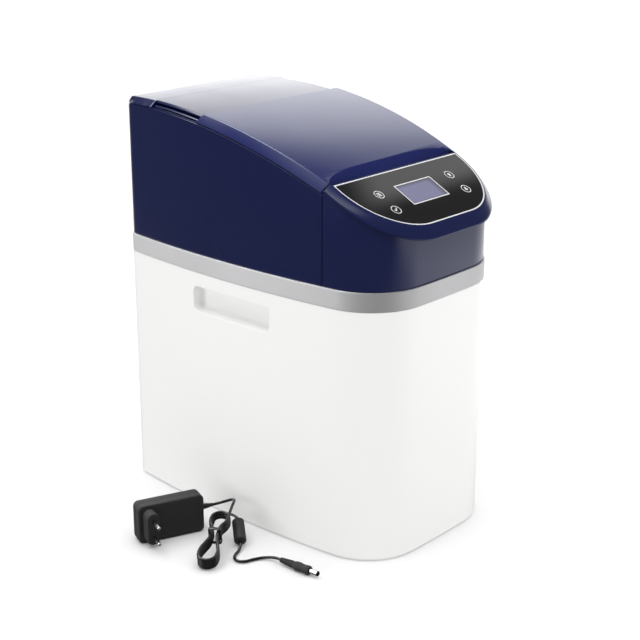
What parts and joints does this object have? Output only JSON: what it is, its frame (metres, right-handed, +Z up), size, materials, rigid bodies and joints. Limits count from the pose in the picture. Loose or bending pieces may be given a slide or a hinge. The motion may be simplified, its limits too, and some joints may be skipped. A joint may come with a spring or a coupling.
{
  "type": "water softener",
  "caption": "Cabinet water softener with a sliding salt lid, a sloped control panel, a resin tank with motor valve, a brine well with float, and a plug-in supply lead.",
  "frame": {"origin": "on the floor under the middle of the cabinet's plan, without the panel lip and the rear ports", "axes": "+Z up, the control panel faces -Y, the water ports point to +Y, the long sides face -X and +X"},
  "size_m": [0.3553, 0.4211, 0.4619],
  "materials": {
    "white_shell": "smooth moulded, slightly glossy",
    "silver_belt": "satin silver paint",
    "navy_hood": "dark blue, glossy",
    "panel_black": "high gloss",
    "display": "grey-blue display behind a clear window",
    "grey_plastic": "moulded",
    "board_green": "solder resist",
    "steel": "plated",
    "key_black": "high gloss with a light ring",
    "tank_blue": "moulded",
    "black_plastic": "moulded",
    "resin_amber": "packed beads",
    "white_plastic": "moulded",
    "seal_rubber": "moulded",
    "ivory_plastic": "moulded",
    "motor_metal": "plated can",
    "port_grey": "moulded",
    "turbine_orange": "moulded",
    "adapter_black": "fine grain",
    "cord_black": "soft sheath",
    "contact_metal": "plated"
  },
  "bodies": {
    "cabinet": {"cabinet_body": "white_shell", "belt_trim": "silver_belt", "hood_shell": "navy_hood", "rear_cover": "navy_hood", "control_housing": "navy_hood", "control_panel": "panel_black", "lcd_glass": "display", "lcd_frame": "grey_plastic", "control_board": "board_green", "board_screws": "steel", "resin_tank": "tank_blue", "tank_base": "black_plastic", "resin_bed": "resin_amber", "riser_tube": "white_plastic", "lower_strainer": "white_plastic", "upper_strainer": "white_plastic", "tank_seal": "seal_rubber", "valve_body": "black_plastic", "valve_cover": "grey_plastic", "valve_screws": "steel", "valve_motor": "motor_metal", "motor_stand": "grey_plastic", "inlet_port": "port_grey", "outlet_port": "port_grey", "turbine_cage": "white_plastic", "drain_spigot": "port_grey", "injector": "black_plastic", "brine_well": "white_plastic", "well_cap": "white_plastic", "brine_valve": "port_grey", "brine_pipe": "white_plastic", "brine_tube": "white_plastic", "overflow_elbow": "port_grey", "dc_socket": "black_plastic", "adapter_back": "adapter_black", "adapter_face": "adapter_black", "plug_block": "adapter_black", "contact_pins": "contact_metal", "strain_relief": "cord_black", "cord_lead": "cord_black", "cord_hank": "cord_black", "hank_tie": "cord_black", "cord_link": "cord_black", "ferrite": "adapter_black", "cord_tail": "cord_black", "dc_plug": "adapter_black", "dc_barrel": "contact_metal"},
    "lid": {"salt_lid": "navy_hood"},
    "key_lu": {"key_left_upper": "key_black"},
    "key_ll": {"key_left_lower": "key_black"},
    "key_ru": {"key_right_upper": "key_black"},
    "key_rl": {"key_right_lower": "key_black"},
    "valve_gear": {"drive_gear": "ivory_plastic", "rotor_disc": "ivory_plastic"},
    "pinion_body": {"pinion": "ivory_plastic"},
    "turbine": {"flow_turbine": "turbine_orange"},
    "float": {"brine_float": "ivory_plastic"}
  },
  "joints": [
    {"name": "lid_slide", "type": "hinge", "parent": "cabinet", "child": "lid", "pos_m": [0, 0.15, -0.205], "axis": [-1, 0, 0], "range_deg": [0, 6.4]},
    {"name": "key_left_upper_press", "type": "slide", "parent": "cabinet", "child": "key_lu", "axis": [0, 0.4617, -0.887], "range_m": [0, 0.0007], "stiffness_N_per_m": 400},
    {"name": "key_left_lower_press", "type": "slide", "parent": "cabinet", "child": "key_ll", "axis": [0, 0.4617, -0.887], "range_m": [0, 0.0007], "stiffness_N_per_m": 400},
    {"name": "key_right_upper_press", "type": "slide", "parent": "cabinet", "child": "key_ru", "axis": [0, 0.4617, -0.887], "range_m": [0, 0.0007], "stiffness_N_per_m": 400},
    {"name": "key_right_lower_press", "type": "slide", "parent": "cabinet", "child": "key_rl", "axis": [0, 0.4617, -0.887], "range_m": [0, 0.0007], "stiffness_N_per_m": 400},
    {"name": "valve_turn", "type": "hinge", "parent": "cabinet", "child": "valve_gear", "pos_m": [0.01, 0.1, 0.38], "axis": [0, 0, 1], "continuous": true},
    {"name": "pinion_turn", "type": "hinge", "parent": "cabinet", "child": "pinion_body", "pos_m": [-0.0262, 0.1, 0.38], "axis": [0, 0, 1], "continuous": true},
    {"name": "turbine_spin", "type": "hinge", "parent": "cabinet", "child": "turbine", "pos_m": [-0.022, 0.197, 0.35], "axis": [0, 1, 0], "continuous": true},
    {"name": "float_rise", "type": "slide", "parent": "cabinet", "child": "float", "axis": [0, 0, 1], "range_m": [0, 0.1]}
  ],
  "couplings": [
    {"joint": "pinion_turn", "follows": "valve_turn", "ratio": -3}
  ]
}
